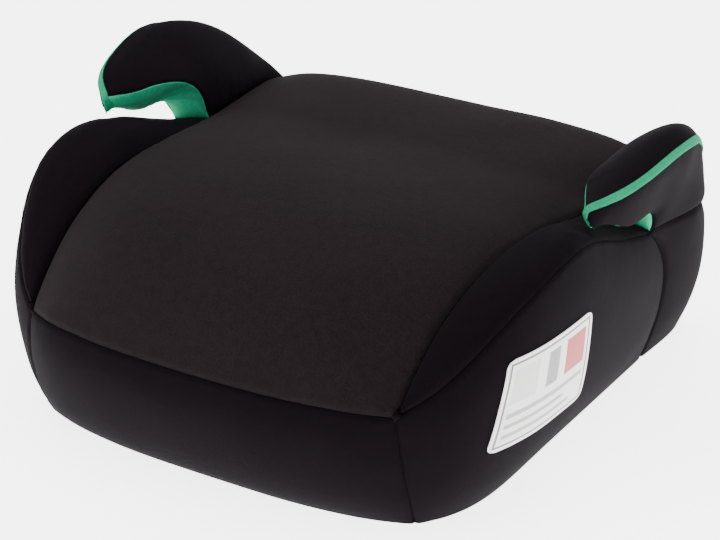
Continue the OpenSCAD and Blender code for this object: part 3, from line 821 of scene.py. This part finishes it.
label_mesh = bpy.data.meshes.new("label")
film.to_mesh(label_mesh)
film.free()
label = bpy.data.objects.new("label", label_mesh)
bpy.context.collection.objects.link(label)
apply_modifier(label, "SOLIDIFY", thickness=0.45 * mm, offset=1.0)
bpy.ops.object.shade_smooth_by_angle(angle=math.radians(40))

label_film, start, shader = new_finish("label_film", Specular_IOR_Level=0.45)
pattern = start.node("UVMap", uv_map="pattern")
u = start.node("SeparateXYZ", {0: pattern}, out=0)
v = start.node("SeparateXYZ", {0: pattern}, out=1)


def block(left, right, low, high, soft=0.004):
    """1 inside a box on the label, 0 outside it."""
    inside = u.between(left, left + soft) * (1 - u.between(right - soft, right))
    return inside * v.between(low, low + soft) * (1 - v.between(high - soft, high))


frame_line = block(0.03, 0.97, 0.04, 0.96) * (1 - block(0.048, 0.952, 0.062, 0.938))
boxes = block(0.08, 0.34, 0.5, 0.88) * 0.5 + block(0.44, 0.58, 0.5, 0.88) * 1.7
bars = block(0.08, 0.92, 0.35, 0.41) + block(0.08, 0.7, 0.24, 0.29) + block(0.08, 0.8, 0.13, 0.18)
mottle = start.node("TexNoise", {"Vector": pattern, "Scale": 40.0, "Detail": 3.0}, noise_dimensions="2D")
print_mask = (frame_line * 0.9 + boxes * 0.42 + bars * 0.6) * (0.9 + mottle * 0.2)
red_box = block(0.66, 0.92, 0.5, 0.88)
ground = red_box.tint((0.66, 0.66, 0.65), (0.36, 0.008, 0.01))
print_mask.tint(ground, (0.01, 0.01, 0.012)).feed(shader, "Base Color")
(0.32 + mottle * 0.16).feed(shader, "Roughness")
start.node("Bump", {"Height": mottle + print_mask * 0.3, "Distance": 0.00008, "Strength": 0.5}).feed(
    shader, "Normal"
)
label.data.materials.append(label_film)
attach(label, "root")
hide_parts("side_label")

# ---- Armrest foam sleeves ----
# A sleeve of open-cell foam is slipped over each armrest core under the cover, so the arm feels soft.
foam, start, shader = new_finish("open_cell_foam", Specular_IOR_Level=0.2)
place = start.node("TexCoord", out=3)
cells = start.node("TexVoronoi", {"Vector": place, "Scale": 900.0}, feature="F1")
grain = start.node("TexNoise", {"Vector": place, "Scale": 300.0, "Detail": 3.0})
(cells * 0.7 + grain * 0.4).between(0.1, 0.8).tint((0.42, 0.38, 0.25), (0.72, 0.68, 0.5)).feed(
    shader, "Base Color"
)
(0.85 + grain * 0.1).feed(shader, "Roughness")
start.node("Bump", {"Height": cells, "Distance": 0.0005, "Strength": 0.9}).feed(shader, "Normal")
for side in ("left", "right"):
    sleeve = nodes["armrest_padding_" + side].copy()
    sleeve.data = sleeve.data.copy()
    sleeve.name = "arm_foam_" + side
    sleeve.parent = None
    bpy.context.collection.objects.link(sleeve)
    for key in list(sleeve.keys()):
        del sleeve[key]
    tube = bmesh.new()
    tube.from_mesh(sleeve.data)
    bmesh.ops.remove_doubles(tube, verts=tube.verts, dist=0.01 * mm)
    bmesh.ops.subdivide_edges(tube, edges=tube.edges, cuts=1, use_grid_fill=True)
    for v in tube.verts:
        v.co += v.normal * (0.25 * mm * noise.noise(v.co / (5 * mm)))
    tube.to_mesh(sleeve.data)
    tube.free()
    sleeve.data.materials.clear()
    sleeve.data.materials.append(foam)
    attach(sleeve, "root")
    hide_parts("armrest_padding_" + side)

# ---- Moulded parts ----
# The shell, base plate and armrest cores are injection-moulded polypropylene with a fine spark texture, and
# the hem's hooks are acetal, smoother and blacker.


def moulded(name, tone, rough, texture):
    finish, start, shader = new_finish(name, Specular_IOR_Level=0.45)
    place = start.node("TexCoord", out=3)
    grain = start.node("TexNoise", {"Vector": place, "Scale": 1400.0, "Detail": 2.0})
    scuffs = start.node("TexNoise", {"Vector": place, "Scale": 70.0, "Detail": 5.0})
    dark = [tone * 0.75] * 3
    light = [tone * 1.3] * 2 + [tone * 1.38]
    (grain * 0.4 + scuffs * 0.6).between(0.3, 0.7).tint(dark, light).feed(shader, "Base Color")
    (rough + (scuffs - 0.5) * 0.18).feed(shader, "Roughness")
    start.node("Bump", {"Height": grain, "Distance": texture, "Strength": 0.6}).feed(shader, "Normal")
    return finish


def refinish(node, finish):
    for slot in nodes[node].material_slots:
        slot.material = finish
    if not nodes[node].material_slots:
        nodes[node].data.materials.append(finish)


refinish("seat_shell", moulded("shell_plastic", 0.018, 0.5, 0.0001))
refinish("base_plate", moulded("plate_plastic", 0.024, 0.46, 0.0001))
core_plastic = moulded("core_plastic", 0.02, 0.48, 0.0001)
refinish("armrest_core_left", core_plastic)
refinish("armrest_core_right", core_plastic)
refinish("cover_clips", moulded("clip_plastic", 0.014, 0.35, 0.00004))

# ---- Screws ----
# Zinc-plated cross-head screws, brushed in turning, with the plating a little dull and yellowed.
zinc, start, shader = new_finish("screw_steel", Metallic=1.0)
place = start.node("TexCoord", out=3)
film_tone = start.node("TexNoise", {"Vector": place, "Scale": 220.0, "Detail": 4.0})
turning = start.node("TexWave", {"Vector": place, "Scale": 900.0, "Distortion": 2.0}, wave_type="BANDS")
film_tone.between(0.3, 0.7).tint((0.46, 0.46, 0.44), (0.66, 0.65, 0.6)).feed(shader, "Base Color")
(0.28 + film_tone * 0.2).feed(shader, "Roughness")
start.node("Bump", {"Height": turning, "Distance": 0.00003, "Strength": 0.4}).feed(shader, "Normal")
refinish("base_plate_screws", zinc)
refinish("armrest_core_screws", zinc)

# ---- Approval sticker ----
# An orange film in the recess of the base plate, left blank but for a plain frame and two ruled lines.
orange, start, shader = new_finish("orange_film", Specular_IOR_Level=0.45)
place = start.node("TexCoord", out=3)
low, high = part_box("approval_sticker")
x = start.node("SeparateXYZ", {0: place}, out=0)
y = start.node("SeparateXYZ", {0: place}, out=1)
from_side = start.maths("ABSOLUTE", x)
from_end = start.maths("ABSOLUTE", y - (low.y + high.y) / 2)
inner = (1 - from_side.between(0.0284, 0.0286)) * (1 - from_end.between(0.0154, 0.0156))
outer = (1 - from_side.between(0.0296, 0.0298)) * (1 - from_end.between(0.0166, 0.0168))
rule = (1 - from_end.between(0.0046, 0.0048)) * from_end.between(0.004, 0.0042)
lines_mask = outer * (1 - inner) + rule * inner
fade = start.node("TexNoise", {"Vector": place, "Scale": 90.0, "Detail": 3.0})
ground = fade.between(0.2, 0.8).tint((0.72, 0.24, 0.03), (0.84, 0.33, 0.06))
lines_mask.tint(ground, (0.03, 0.02, 0.015)).feed(shader, "Base Color")
(0.3 + fade * 0.15).feed(shader, "Roughness")
start.node("Bump", {"Height": fade, "Distance": 0.00005, "Strength": 0.4}).feed(shader, "Normal")
refinish("approval_sticker", orange)
